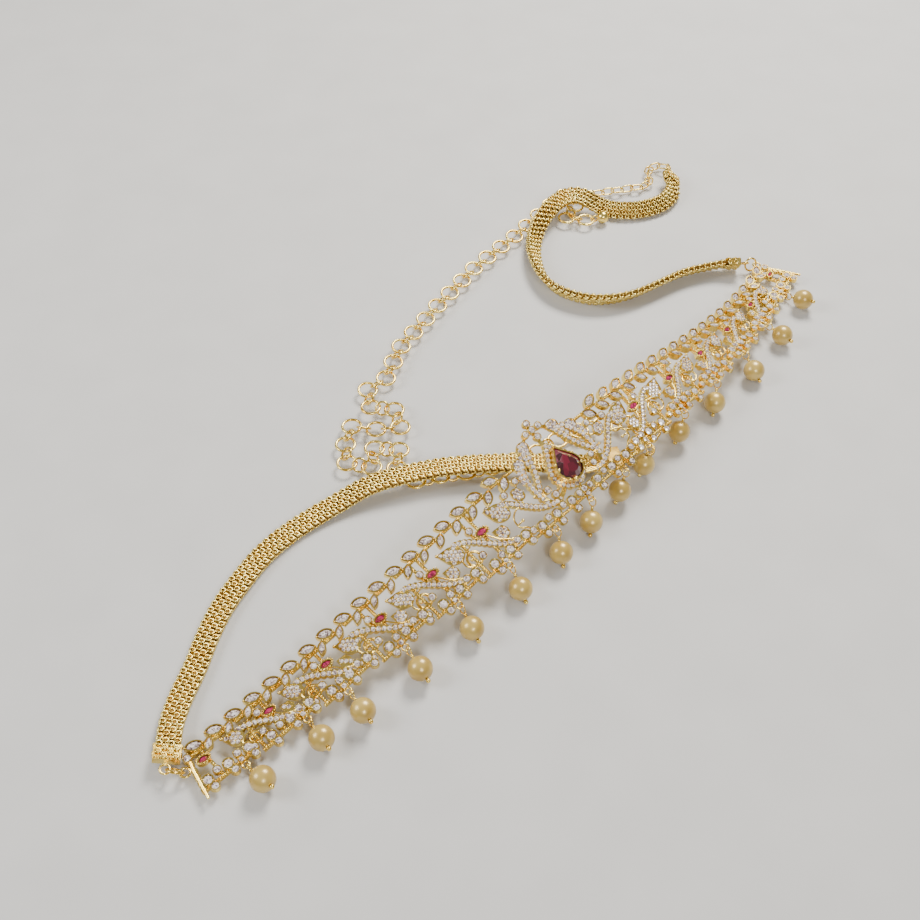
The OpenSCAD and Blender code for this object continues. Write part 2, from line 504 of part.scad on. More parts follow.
// A long link with straight sides, laid along x
module link(len, wid, wire) {
    r = (wid - wire) / 2;
    half = (len - wid) / 2;
    for (m = [-1, 1]) {
        translate([m * half, 0, 0]) rotate([0, 0, -90 * m]) rotate_extrude(angle = 180)
            translate([r, 0]) circle(d = wire, $fn = 24);
        translate([0, m * r, 0]) rotate([0, 90, 0]) cylinder(d = wire, h = 2 * half, center = true, $fn = 24);
    }
}
module link_between(a, b, roll) {
    way = b - a;
    translate((a + b) / 2) rotate([0, 0, atan2(way[1], way[0])]) rotate([0, -asin(way[2] / norm(way)), 0])
        rotate([roll, 0, 0]) children();
}
function fine_point(i) = on_table(fine_route[i], fine_route[i][2]);

module unit_node(side, k) color(gold) panel_unit(side, k);
module leaf_node(side) color("whitesmoke") leaf_stones(side);
module band_node(route) color(pale_gold) band(route);
module fine_chain() color(gold) for (i = [0:len(fine_route) - 2])
    link_between(fine_point(i), fine_point(i + 1), i % 2 == 0 ? 90 : 0) link(fine_len, fine_wid, fine_wire);
module chain_hook() {
    last_link = fine_point(len(fine_route) - 1);
    catch = near_wire(run_rings()[len(run_rings()) - 1], [last_link]);
    color(gold) link_between(last_link, catch, hook_roll) difference() {
        link(hook_len, hook_wid, hook_wire);
        translate([1, hook_wid / 2, 0]) cube([0.8, 2, 2], center = true);
    }
}
module chain_gathered() color(gold) {
    ring_chain(gathered_rings(), 0);
    joiner(cap_eye(band_end(left_band_route, true)), gathered_rings()[0]);
    joiner(gathered_rings()[len(gathered_rings()) - 1], run_rings()[0]);
}
module chain_run() color(gold) {
    ring_chain(run_rings(), 0);
    ring_chain(tail_rings(), 1);
}
module end_bead() color(gold) translate(tail_rings()[3][0]) rotate([0, 0, bead_way])
    translate([ring_r + 0.45, 0, 0]) {
        rotate([90, 0, 0]) ring(cap_eye_r, cap_eye_wire_r);
        translate([cap_eye_r + bead_r - 0.3, 0, bead_r - ring_z + 0.1]) sphere(bead_r);
    }

for (k = [1:units]) {
    unit_node(-1, k);
    unit_node(1, k);
}
for (i = [1:2 * units + 3]) pearl(i - 1);
medallion();
centre_ruby();
small_rubies();
leaf_node(-1);  // leaf_stones_left
leaf_node(1);  // leaf_stones_right
pearl_pins();
band_node(left_band_route);  // band_left
band_node(right_band_route);  // band_right
end_cap(band_end(left_band_route, false));  // cap_left_front
end_cap(band_end(left_band_route, true));  // cap_left_back
end_cap(band_end(right_band_route, false));  // cap_right_front
end_cap(band_end(right_band_route, true));  // cap_right_back
jump_ring(cap_eye(band_end(left_band_route, false)), end_eye(-1), jump_lean_left);  // jump_ring_left
jump_ring(cap_eye(band_end(right_band_route, false)), end_eye(1), jump_lean_right);  // jump_ring_right
fine_chain();
chain_hook();
chain_gathered();
chain_run();
end_bead();
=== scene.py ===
"""Oddiyanam waist belt on a pale table.

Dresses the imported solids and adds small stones, beads, curled wires and woven loops round them.
"""

import json
import logging
import math
from dataclasses import dataclass, field, replace
from enum import Enum
from typing import Any, Callable, Sequence

import bpy
from mathutils import Matrix, Vector


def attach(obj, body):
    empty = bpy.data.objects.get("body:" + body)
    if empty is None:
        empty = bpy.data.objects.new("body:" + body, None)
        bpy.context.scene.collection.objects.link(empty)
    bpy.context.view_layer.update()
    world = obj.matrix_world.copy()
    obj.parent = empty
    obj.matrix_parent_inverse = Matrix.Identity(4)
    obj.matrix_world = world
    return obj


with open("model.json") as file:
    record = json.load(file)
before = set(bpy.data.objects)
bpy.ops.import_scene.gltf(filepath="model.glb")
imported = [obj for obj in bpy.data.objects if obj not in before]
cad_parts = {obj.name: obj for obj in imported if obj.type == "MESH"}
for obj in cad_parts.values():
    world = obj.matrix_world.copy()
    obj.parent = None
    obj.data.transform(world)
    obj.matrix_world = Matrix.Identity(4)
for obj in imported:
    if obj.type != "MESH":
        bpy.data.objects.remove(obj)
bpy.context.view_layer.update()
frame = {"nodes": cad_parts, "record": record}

LOG = logging.getLogger("waist_belt")
MM = 0.001
BODY = "root"
COVERED_CAP = "cap_left_back"
Point = tuple[float, float]
Triple = tuple[float, float, float]
Piece = bpy.types.Object


class Slot(Enum):
    """The material slots of the record."""

    GOLD = "gold"
    WOVEN = "woven_gold"
    PEARL = "pearl"
    RUBY = "ruby"
    PINK = "pink_ruby"
    WHITE = "white_stone"


class Facing(Enum):
    """The two faces of a woven band."""

    UPPER = 1
    UNDER = -1


class Wire:
    """A shader socket that can be used in a Python expression."""

    def __init__(self, net: "Net", socket: bpy.types.NodeSocket) -> None:
        """Keeps the socket and the net that it belongs to."""
        self.net = net
        self.socket = socket

    def _math(self, operation: str, first: Any, second: Any) -> "Wire":
        """Adds a Math node.

        Args:
            operation: the Math node's operation.
            first: its first value or Wire.
            second: its second value or Wire.

        Returns:
            The node's result.
        """
        return self.net.add("ShaderNodeMath", {"operation": operation}, {0: first, 1: second})

    def __add__(self, other: Any) -> "Wire":
        """Sum of two values."""
        return self._math("ADD", self, other)

    def __radd__(self, other: Any) -> "Wire":
        """Sum with a number on the left."""
        return self._math("ADD", other, self)

    def __mul__(self, other: Any) -> "Wire":
        """Product of two values."""
        return self._math("MULTIPLY", self, other)

    def __rmul__(self, other: Any) -> "Wire":
        """Product with a number on the left."""
        return self._math("MULTIPLY", other, self)


class Net:
    """The node tree of one material."""

    def __init__(self, name: str) -> None:
        """Makes an empty material with a Principled shader and its output."""
        self.material = bpy.data.materials.new(name)
        self.material.use_nodes = True
        self.tree = self.material.node_tree
        self.tree.nodes.clear()
        self.shader = self.tree.nodes.new("ShaderNodeBsdfPrincipled")
        output = self.tree.nodes.new("ShaderNodeOutputMaterial")
        self.tree.links.new(self.shader.outputs[0], output.inputs[0])

    def add(self, kind: str, settings: dict[str, Any], inputs: dict[Any, Any], out: Any = 0) -> Wire:
        """Adds one node.

        Args:
            kind: the node's type.
            settings: its properties, and "stops" for a ramp.
            inputs: values or Wires by socket name or number.
            out: the output socket's name or number.

        Returns:
            The output as a Wire.
        """
        node = self.tree.nodes.new(kind)
        for key, value in settings.items():
            if key == "stops":
                self._stops(node.color_ramp, value)
            else:
                setattr(node, key, value)
        for key, value in inputs.items():
            self.feed(node.inputs[key], value)
        return Wire(self, node.outputs[out])

    @staticmethod
    def _stops(ramp: bpy.types.ColorRamp, stops: Sequence[tuple[float, Triple]]) -> None:
        """Sets a ramp's stops.

        Args:
            ramp: the colour ramp.
            stops: pairs of position and colour, in order.
        """
        while len(ramp.elements) < len(stops):
            ramp.elements.new(0.5)
        for element, (place, colour) in zip(ramp.elements, stops):
            element.position = place
            element.color = (*colour, 1.0)

    def feed(self, socket: bpy.types.NodeSocket, value: Any) -> None:
        """Links a Wire to a socket or sets its value."""
        if isinstance(value, Wire):
            self.tree.links.new(value.socket, socket)
        else:
            socket.default_value = value

    def principled(self, **values: Any) -> None:
        """Feeds the Principled shader, with underscores for the spaces of its socket names."""
        for key, value in values.items():
            self.feed(self.shader.inputs[key.replace("_", " ")], value)

    def place(self) -> Wire:
        """Object coordinates."""
        return self.add("ShaderNodeTexCoord", {}, {}, "Object")

    def noise(self, scale: float) -> Wire:
        """Noise on Object coordinates, its scale in cells a metre."""
        inputs = {"Vector": self.place(), "Scale": scale, "Detail": 2.0}
        return self.add("ShaderNodeTexNoise", {}, inputs, "Fac")

    def ramp(self, value: Wire, stops: Sequence[tuple[float, Triple]]) -> Wire:
        """A colour ramp on a value."""
        return self.add("ShaderNodeValToRGB", {"stops": stops}, {"Fac": value}, "Color")

    def bump(self, height: Wire, strength: float, distance: float) -> Wire:
        """A bump from a height, with its distance in metres."""
        inputs = {"Height": height, "Strength": strength, "Distance": distance}
        return self.add("ShaderNodeBump", {}, inputs, "Normal")


@dataclass(frozen=True)
class GiltFinish:
    """Polished gilt metal with faint colour and polish changes."""

    name: str
    pale: Triple
    deep: Triple
    smooth: float = 0.14
    spread: float = 0.14
    cells: float = 260.0
    dents: float = 0.12

    def make(self) -> bpy.types.Material:
        """Builds the material."""
        net = Net(self.name)
        broad = net.noise(self.cells)
        fine = net.noise(self.cells * 6)
        net.principled(
            Base_Color=net.ramp(broad, [(0.3, self.deep), (0.62, self.pale)]),
            Metallic=1.0,
            Roughness=fine * self.spread + self.smooth,
            Normal=net.bump(fine, self.dents, 0.00004),
        )
        return net.material


@dataclass(frozen=True)
class StoneFinish:
    """A cut stone whose small cells of light and dark stand for its inner reflections."""

    name: str
    bright: Triple
    middle: Triple
    dark: Triple
    cell_mm: float
    index: float

    def make(self) -> bpy.types.Material:
        """Builds the material."""
        net = Net(self.name)
        inputs = {"Vector": net.place(), "Scale": 1 / (self.cell_mm * MM)}
        cells = net.add("ShaderNodeTexVoronoi", {}, inputs, "Color")
        value = net.add("ShaderNodeSeparateColor", {}, {0: cells}, 0)
        net.principled(
            Base_Color=net.ramp(value, [(0.12, self.dark), (0.45, self.middle), (0.8, self.bright)]),
            Roughness=0.05 + 0.06 * value,
            IOR=self.index,
            Coat_Weight=1.0,
            Coat_Roughness=0.03,
        )
        return net.material


@dataclass(frozen=True)
class PearlFinish:
    """Champagne pearl with a soft cloudy body and a clear gloss over it."""

    name: str = "champagne_pearl"
    pale: Triple = (0.64, 0.45, 0.11)
    deep: Triple = (0.48, 0.30, 0.05)

    def make(self) -> bpy.types.Material:
        """Builds the material."""
        net = Net(self.name)
        cloud = net.noise(170.0)
        net.principled(
            Base_Color=net.ramp(cloud, [(0.3, self.deep), (0.65, self.pale)]),
            Roughness=0.28 + 0.12 * cloud,
            Metallic=0.2,
            Coat_Weight=0.8,
            Coat_Roughness=0.24,
            Normal=net.bump(cloud, 0.05, 0.00005),
        )
        return net.material


@dataclass(frozen=True)
class FloorFinish:
    """Plain pale floor with a barely visible grain."""

    name: str = "pale_floor"

    def make(self) -> bpy.types.Material:
        """Builds the material."""
        net = Net(self.name)
        net.principled(
            Base_Color=net.ramp(net.noise(40.0), [(0.3, (0.60, 0.59, 0.57)), (0.7, (0.63, 0.62, 0.60))]),
            Roughness=0.7,
        )
        return net.material


class Bench:
    """Modelling steps that the pieces share.

    TABLE, CROWN, PAVILION and CULET are shares of a cut stone's radius. Each of POINT_STEPS says beyond
    which share of a pad's half length its corners move, and by which share. Rims, sinks and GEM_THICK are
    in millimetres.
    """

    MODES = {"polygons": "FACE", "edges": "EDGE", "vertices": "VERT"}
    TABLE, CROWN, PAVILION, CULET = 0.56, 0.36, 0.5, 0.1
    POINT_STEPS = ((0.84, 0.1), (1.02, 0.18), (1.25, 0.22))
    PAD_RIM, PAD_SINK = 0.3, 0.2
    BEZEL_RIM, BEZEL_SINK = 0.36, 0.35
    CUP_SINK = 0.45
    LEAF_CORNER, LEAF_ROUND = 1.5, 0.62
    GEM_THICK, GEM_TABLE = 0.6, (0.6, 0.55, 1)

    @staticmethod
    def clear() -> None:
        """Deselects everything."""
        bpy.ops.object.select_all(action="DESELECT")

    @staticmethod
    def take() -> Piece:
        """The object that the last operator made."""
        return bpy.context.view_layer.objects.active

    @classmethod
    def cut_stone(cls, radius: float) -> Piece:
        """A round stone with a table, eight crown facets, a girdle and a pointed pavilion.

        Args:
            radius: radius of the girdle in millimetres.

        Returns:
            The stone, its girdle at the origin.
        """
        cls.clear()
        bpy.ops.mesh.primitive_cone_add(
            vertices=8, radius1=radius * MM, radius2=cls.TABLE * radius * MM, depth=cls.CROWN * radius * MM,
            location=(0, 0, cls.CROWN / 2 * radius * MM))
        stone = cls.take()
        cls.pick(stone, "polygons", lambda face: face.normal.z < -0.5)
        deep = (0, 0, -cls.PAVILION * radius * MM)
        bpy.ops.mesh.extrude_region_move(TRANSFORM_OT_translate={"value": deep})
        bpy.ops.transform.resize(value=(cls.CULET, cls.CULET, 1))
        bpy.ops.object.mode_set(mode="OBJECT")
        cls.settle(stone)
        return stone

    @classmethod
    def bead_ring(cls, count: int, reach: Point, radius: float, turn: float = 45.0) -> Piece:
        """A ring of small grains, such as those that hold a stone.

        Args:
            count: number of grains.
            reach: the ring's half axes in millimetres.
            radius: radius of a grain in millimetres.
            turn: direction of the first grain in degrees.

        Returns:
            The grains as one object.
        """
        grains = []
        for i in range(count):
            angle = math.radians(turn + 360 * i / count)
            grains.append(cls.ball(radius, (reach[0] * math.cos(angle), reach[1] * math.sin(angle), 0)))
        return cls.joined(grains, "grains")

    @classmethod
    def ball(cls, radius: float, at: Sequence[float], steps: int = 1) -> Piece:
        """A small ball of metal.

        Args:
            radius: its radius in millimetres.
            at: its middle in millimetres.
            steps: how finely it is divided.

        Returns:
            The ball.
        """
        cls.clear()
        bpy.ops.mesh.primitive_ico_sphere_add(
            subdivisions=steps, radius=radius * MM, location=[v * MM for v in at])
        bpy.ops.object.shade_smooth()
        return cls.take()

    @classmethod
    def round_cup(cls, radius: float, height: float, rim: float) -> Piece:
        """A round cup for a stone, with a sunk floor and four claws.

        Args:
            radius: its outer radius in millimetres.
            height: its height in millimetres.
            rim: width of its rim in millimetres.

        Returns:
            The cup, its rim at height 0.
        """
        cup = cls.disc(12, (radius, radius), height)
        cls.sink(cup, rim, cls.CUP_SINK)
        claws = cls.bead_ring(4, (radius - rim / 2, radius - rim / 2), 0.7 * rim)
        return cls.joined([cup, claws], "cup")

    @classmethod
    def disc(cls, corners: int, half: Point, thick: float) -> Piece:
        """A flat disc, its top at height 0, with its half axes and its thickness in millimetres."""
        cls.clear()
        bpy.ops.mesh.primitive_cylinder_add(
            vertices=corners, radius=MM, depth=thick * MM, location=(0, 0, -thick / 2 * MM))
        disc = cls.take()
        disc.scale = (*half, 1)
        bpy.context.view_layer.update()
        cls.settle(disc)
        return disc

    @classmethod
    def pick(cls, piece: Piece, kind: str, wanted: Callable[[Any], bool]) -> None:
        """Opens a piece in edit mode with only some of its parts selected.

        Args:
            piece: the piece.
            kind: the kind of part, a key of MODES.
            wanted: says which parts are selected.
        """
        bpy.ops.object.mode_set(mode="EDIT")
        bpy.ops.mesh.select_mode(type=cls.MODES[kind])
        bpy.ops.mesh.select_all(action="DESELECT")
        bpy.ops.object.mode_set(mode="OBJECT")
        for part in getattr(piece.data, kind):
            part.select = wanted(part)
        bpy.ops.object.mode_set(mode="EDIT")

    @classmethod
    def face_up(cls, piece: Piece) -> None:
        """Opens a piece in edit mode with only its upward faces selected."""
        cls.pick(piece, "polygons", lambda face: face.normal.z > 0.9)

    @classmethod
    def pad(cls, long: float, wide: float, thick: float, pointed: bool = False) -> Piece:
        """A flat oval or drop-shaped pad with a raised rim, on which small stones are set.

        Args:
            long: its half length in millimetres.
            wide: its half width in millimetres.
            thick: its thickness in millimetres.
            pointed: whether its end on the x side is drawn out to a point.

        Returns:
            The pad, its top at height 0.
        """
        pad = cls.disc(24, (long, wide), thick)
        for beyond, shift in cls.POINT_STEPS if pointed else ():
            cls.draw_out(pad, beyond * long, shift * long)
        cls.sink(pad, cls.PAD_RIM, cls.PAD_SINK)
        return pad

    @classmethod
    def draw_out(cls, piece: Piece, beyond: float, shift: float) -> None:
        """Moves the corners of a piece beyond a distance on the x side further out.

        Args:
            piece: the piece.
            beyond: the distance in millimetres.
            shift: how far the corners move in millimetres.
        """
        cls.pick(piece, "vertices", lambda corner: corner.co.x > beyond * MM)
        bpy.ops.transform.translate(value=(shift * MM, 0, 0))
        bpy.ops.object.mode_set(mode="OBJECT")

    @classmethod
    def sink(cls, piece: Piece, rim: float, depth: float) -> None:
        """Sinks a piece's top inside a rim, both in millimetres."""
        cls.face_up(piece)
        bpy.ops.mesh.inset(thickness=rim * MM)
        bpy.ops.mesh.extrude_region_move(TRANSFORM_OT_translate={"value": (0, 0, -depth * MM)})
        bpy.ops.object.mode_set(mode="OBJECT")

    @classmethod
    def leaf(cls, long: float, wide: float, thick: float) -> Piece:
        """A leaf shape with two points and round sides.

        Args:
            long: its half length in millimetres.
            wide: its half width in millimetres.
            thick: its thickness in millimetres.

        Returns:
            The leaf, its top at height 0.
        """
        leaf = cls.disc(4, (long, cls.LEAF_CORNER * wide), thick)

        def at_side(edge: bpy.types.MeshEdge) -> bool:
            """Whether an edge stands upright at one of the leaf's sides."""
            a, b = (leaf.data.vertices[i].co for i in edge.vertices)
            return abs(a.z - b.z) > 0.1 * MM and abs(a.y) > 0.5 * wide * MM

        cls.pick(leaf, "edges", at_side)
        bevel = cls.LEAF_ROUND * long * MM
        bpy.ops.mesh.bevel(offset=bevel, offset_type="OFFSET", segments=5, affect="EDGES")
        bpy.ops.object.mode_set(mode="OBJECT")
        return leaf

    @classmethod
    def leaf_bezel(cls, long: float, wide: float, thick: float) -> Piece:
        """A leaf-shaped cup with a rim, its top at height 0, with its sizes as in leaf()."""
        cup = cls.leaf(long, wide, thick)
        cls.sink(cup, cls.BEZEL_RIM, cls.BEZEL_SINK)
        return cup

    @classmethod
    def leaf_gem(cls, long: float, wide: float) -> Piece:
        """A leaf-shaped stone with a sloping crown, its table at height 0, with its sizes as in leaf()."""
        gem = cls.leaf(long, wide, cls.GEM_THICK)
        cls.face_up(gem)
        bpy.ops.transform.resize(value=cls.GEM_TABLE)
        bpy.ops.object.mode_set(mode="OBJECT")
        return gem

    @classmethod
    def loop(cls, radius: float, wire: float) -> Piece:
        """One round wire loop of the weave.

        Args:
            radius: radius to the middle of the wire in millimetres.
            wire: radius of the wire in millimetres.

        Returns:
            The loop, flat at the origin.
        """
        cls.clear()
        bpy.ops.mesh.primitive_torus_add(
            major_segments=10, minor_segments=5, major_radius=radius * MM, minor_radius=wire * MM)
        bpy.ops.object.shade_smooth()
        return cls.take()

    @staticmethod
    def settle(piece: Piece) -> None:
        """Puts a piece's place into its mesh, so that its object sits at the origin."""
        piece.data.transform(piece.matrix_world)
        piece.matrix_world = Matrix.Identity(4)

    @classmethod
    def joined(cls, parts: Sequence[Piece], name: str) -> Piece:
        """Joins parts to one piece.

        Args:
            parts: the parts, each with a mesh of its own.
            name: the piece's name.

        Returns:
            The piece, at the origin.
        """
        for part in parts:
            part.data.transform(part.matrix_basis)
            part.matrix_basis = Matrix.Identity(4)
        cls.clear()
        for part in parts:
            part.select_set(True)
        bpy.context.view_layer.objects.active = parts[0]
        if len(parts) > 1:
            bpy.ops.object.join()
        piece = parts[0]
        piece.name = name
        piece.data.name = name
        return piece

    @classmethod
    def scattered(cls, model: Piece, places: Sequence[Matrix], name: str) -> Piece:
        """Copies a model to many places and joins the copies.

        Args:
            model: what repeats; it is removed at the end.
            places: where each copy goes, in metres.
            name: the piece's name.

        Returns:
            The joined piece.
        """
        copies = []
        for place in places:
            copy = model.copy()
            copy.data = model.data.copy()
            copy.data.transform(place)
            bpy.context.scene.collection.objects.link(copy)
            copies.append(copy)
        bpy.data.objects.remove(model)
        return cls.joined(copies, name)

    @classmethod
    def drawn_wire(cls, points: Sequence[Vector], radius: float, name: str) -> Piece:
        """A round wire along points.

        Args:
            points: points of the wire in millimetres.
            radius: its radius in millimetres.
            name: the piece's name.

        Returns:
            The wire as a mesh with closed ends.
        """
        curve = bpy.data.curves.new(name, "CURVE")
        curve.dimensions = "3D"
        curve.bevel_depth = radius * MM
        curve.bevel_resolution = 1
        curve.use_fill_caps = True
        spline = curve.splines.new("POLY")
        spline.points.add(len(points) - 1)
        for spot, point in zip(spline.points, points):
            spot.co = (*(point * MM), 1.0)
        piece = bpy.data.objects.new(name, curve)
        bpy.context.scene.collection.objects.link(piece)
        cls.clear()
        piece.select_set(True)
        bpy.context.view_layer.objects.active = piece
        bpy.ops.object.convert(target="MESH")
        bpy.ops.object.shade_smooth()
        return cls.take()


@dataclass
class Finishes:
    """Every finish of the belt, made once."""

    made: dict[Slot, bpy.types.Material] = field(default_factory=dict)
    # Dark brown gilt for the band solids under the loops: painted shade, so the gaps between the loops read
    # as dark holes.
    painted_shade_weave: bpy.types.Material | None = None
    # Darker, rougher gilt for the one cap under the medallion: painted shade, plus a rougher polish.
    painted_shade_gilt: bpy.types.Material | None = None

    def build(self) -> None:
        """Makes the material of each slot."""
        self.made = {
            Slot.GOLD: GiltFinish("polished_gilt", (1.0, 0.78, 0.23), (0.84, 0.52, 0.08), 0.17).make(),
            Slot.WOVEN: GiltFinish(
                "woven_gilt", (1.0, 0.83, 0.28), (0.84, 0.56, 0.11), 0.2, 0.12, 420.0).make(),
            Slot.PEARL: PearlFinish().make(),
            Slot.RUBY: StoneFinish(
                "centre_ruby", (0.16, 0.005, 0.023), (0.095, 0.002, 0.013), (0.04, 0.001, 0.005),
                3.4, 1.7).make(),
            Slot.PINK: StoneFinish(
                "pink_ruby", (0.52, 0.02, 0.13), (0.34, 0.008, 0.07), (0.14, 0.003, 0.025), 0.8, 1.76).make(),
            Slot.WHITE: StoneFinish(
                "clear_stone", (1.0, 0.94, 0.9), (0.64, 0.52, 0.5), (0.16, 0.10, 0.1), 0.42, 2.2).make(),
        }
        # Dark brown gilt for the band solids: painted shade in the gaps between the woven loops.
        self.painted_shade_weave = GiltFinish(
            "painted_shade_weave", (0.26, 0.13, 0.025), (0.10, 0.045, 0.008), 0.42, 0.2, 700.0).make()
        # Darker gilt on the cap under the medallion: painted shade where the medallion covers it; its higher
        # roughness is a rougher polish.
        self.painted_shade_gilt = GiltFinish(
            "painted_shade_gilt", (0.66, 0.45, 0.12), (0.45, 0.27, 0.05), 0.34, 0.16, 420.0).make()

    def dress(self, piece: Piece, slot: Slot) -> None:
        """Gives a new piece its finish and its slot, and lets it ride."""
        piece.data.materials.clear()
        piece.data.materials.append(self.made[slot])
        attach(piece, BODY)

    def dress_solids(self) -> None:
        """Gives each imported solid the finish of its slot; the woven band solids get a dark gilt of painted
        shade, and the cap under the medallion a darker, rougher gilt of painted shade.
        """
        for part in frame["record"]["subparts"]:
            solid, slot = frame["nodes"][part["node"]], Slot(part["material_slot"])
            # Woven band solids get the dark gilt of painted shade instead of their slot's finish.
            finish = self.painted_shade_weave if slot is Slot.WOVEN else self.made[slot]
            solid.data.materials.clear()
            # The cap under the medallion gets the darker gilt of painted shade.
            solid.data.materials.append(self.painted_shade_gilt if part["node"] == COVERED_CAP else finish)


@dataclass
class Lay:
    """How the panel lies: place, direction, slope and tilt along it, in millimetres and degrees."""

    pitch: float = 22.2
    first: float = 39.8
    drop_wide: float = 24.0
    drop_narrow: float = 13.0
    base: float = 1.2
    lift: float = 20.0
    crest: float = 15.0
    heading: float = 45.0
    right_turn: float = 15.0
    tilt: float = 24.0
    start: Point = (27.0, -10.5)
    middle: Point = (26.06, 24.45)
    units: int = 6

    @property
    def leaf(self) -> float:
        """Spacing of the leaves."""
        return self.pitch / 3

    @property
    def half(self) -> float:
        """Half the panel's length."""
        return self.first + self.pitch * (self.units - 1) + self.leaf / 2

    def height(self, s: float) -> float:
        """Height of the plate's back."""
        reach = self.half + self.crest if s < self.crest else self.half - self.crest
        return self.base + self.lift * math.cos(math.pi / 2 * min(1, abs(s - self.crest) / reach)) ** 2

    def slope(self, s: float) -> float:
        """Slope along the panel in radians."""
        return math.asin((self.height(s + 1) - self.height(s - 1)) / 2)

    def turn(self, s: float) -> float:
        """Direction along the panel in radians."""
        return math.radians(self.heading + (self.right_turn * (s / self.half) ** 2 if s > 0 else 0))

    def lean(self, s: float) -> float:
        """Tilt across the panel in radians."""
        return math.radians(self.tilt * math.cos(math.pi / 2 * min(1, abs(s) / self.half)) ** 2)

    def drop(self, s: float) -> float:
        """Distance from the top row to the lower row."""
        share = (s - self.first / 2) / (self.half - self.first / 2)
        return self.drop_wide * (1 - share) + self.drop_narrow * share

    def unit_place(self, k: int) -> float:
        """Distance of a unit from the panel's middle."""
        return self.first + self.pitch * (k - 1)

    def frame_at(self, s: float) -> Matrix:
        """Frame of the plate at a distance along the panel.

        Args:
            s: distance from the panel's middle in millimetres.

        Returns:
            A matrix in millimetres whose x runs along the panel, y up across it and z out of it.
        """
        count = math.ceil(abs(s) / 4) + 1
        x, y = self.start
        for i in range(count):
            m = s * (i + 0.5) / count
            x += s / count * math.cos(self.slope(m)) * math.cos(self.turn(m))
            y += s / count * math.cos(self.slope(m)) * math.sin(self.turn(m))
        place = Matrix.Translation((x - self.middle[0], y - self.middle[1], self.height(s)))
        return (place @ Matrix.Rotation(self.turn(s), 4, "Z") @ Matrix.Rotation(-self.slope(s), 4, "Y")
                @ Matrix.Rotation(self.lean(s), 4, "X"))


def in_metres(place: Matrix) -> Matrix:
    """The same matrix with its translation turned from millimetres to metres."""
    out = place.copy()
    out.translation = place.translation * MM
    return out


def bezier(p: Sequence[Point], t: float) -> Point:
    """A point of a curve with two handles."""
    u = 1 - t
    return tuple(u ** 3 * a + 3 * u * u * t * b + 3 * u * t * t * c + t ** 3 * d for a, b, c, d in zip(*p))


def along_line(points: Sequence[Point], pitch: float, closed: bool = False) -> list[Point]:
    """Places at even steps along a line of points.

    Args:
        points: the line's points in millimetres.
        pitch: the step wanted, rounded so that the line's ends are used.
        closed: whether the line ends where it starts.

    Returns:
        The places.
    """
    line = list(points) + ([points[0]] if closed else [])
    reach = [0.0]
    for a, b in zip(line, line[1:]):
        reach.append(reach[-1] + math.dist(a, b))
    count = max(1, round(reach[-1] / pitch))
    places, i = [], 0
    for step in range(count + (0 if closed else 1)):
        at = reach[-1] * step / count
        while i < len(line) - 2 and reach[i + 1] < at:
            i += 1
        share = (at - reach[i]) / max(reach[i + 1] - reach[i], 1e-9)
        places.append(tuple(a + (b - a) * share for a, b in zip(line[i], line[i + 1])))
    return places


def curved(handles: Sequence[Point], pitch: float) -> list[Point]:
    """Places at even steps along a curve with two handles."""
    return along_line([bezier(handles, i / 40) for i in range(41)], pitch)


@dataclass(frozen=True)
class Head:
    """A pad set all over with small stones: its middle, half length, half width and direction."""

    at: Point
    long: float
    wide: float
    turn: float
    pointed: bool = False

    def holds(self, x: float, y: float, margin: float) -> bool:
        """Whether a place on the pad, from its middle, is at least a margin inside its edge."""
        long, wide = self.long - margin, self.wide - margin
        if self.pointed and x > 0:
            return (x / (1.45 * long)) ** 1.7 + abs(y) / wide <= 1
        return (x / long) ** 2 + (y / wide) ** 2 <= 1

    def outward(self, x: float, y: float) -> Point:
        """A place on the pad in the plate's own frame."""
        cosine, sine = math.cos(math.radians(self.turn)), math.sin(math.radians(self.turn))
        return self.at[0] + x * cosine - y * sine, self.at[1] + x * sine + y * cosine

    def stones(self, pitch: float, margin: float) -> list[Point]:
        """Places of stones packed on the pad.

        Args:
            pitch: distance between stones in millimetres.
            margin: how far the outer stones stay inside the pad's edge.

        Returns:
            The places in the plate's own frame.
        """
        steps = [((i + 0.5 * (j % 2)) * pitch, 0.87 * j * pitch) for j in range(-4, 5) for i in range(-5, 6)]
        return [self.outward(x, y) for x, y in steps if self.holds(x, y, margin)]


@dataclass
class PlateWork:
    """What one plate carries, as places in its own frame in millimetres."""

    frame: Matrix
    side: int
    rows: list[Point] = field(default_factory=list)
    buds: list[Point] = field(default_factory=list)
    cups: list[Point] = field(default_factory=list)
    heads: list[Head] = field(default_factory=list)
    claws: list[Point] = field(default_factory=list)
    beaded: list[tuple[Point, Point]] = field(default_factory=list)
    wires: list[list[Point]] = field(default_factory=list)
    rods: list[list[Point]] = field(default_factory=list)
    balls: list[Point] = field(default_factory=list)
    leaves: list[Point] = field(default_factory=list)

    def spot(self, at: Point, height: float, turn: float = 0.0) -> Matrix:
        """The matrix of a small piece on the plate, in metres."""
        turned = math.radians(turn if self.side > 0 else 180 - turn)
        return in_metres(self.frame @ Matrix.Translation((self.side * at[0], at[1], height))
                         @ Matrix.Rotation(turned, 4, "Z"))

    def point(self, at: Point, height: float) -> Vector:
        """A point on the plate, in millimetres."""
        return self.frame @ Vector((self.side * at[0], at[1], height))

    def mirrored(self) -> "PlateWork":
        """The same work on the other half of a plate that has two alike halves."""
        return replace(self, side=-self.side)


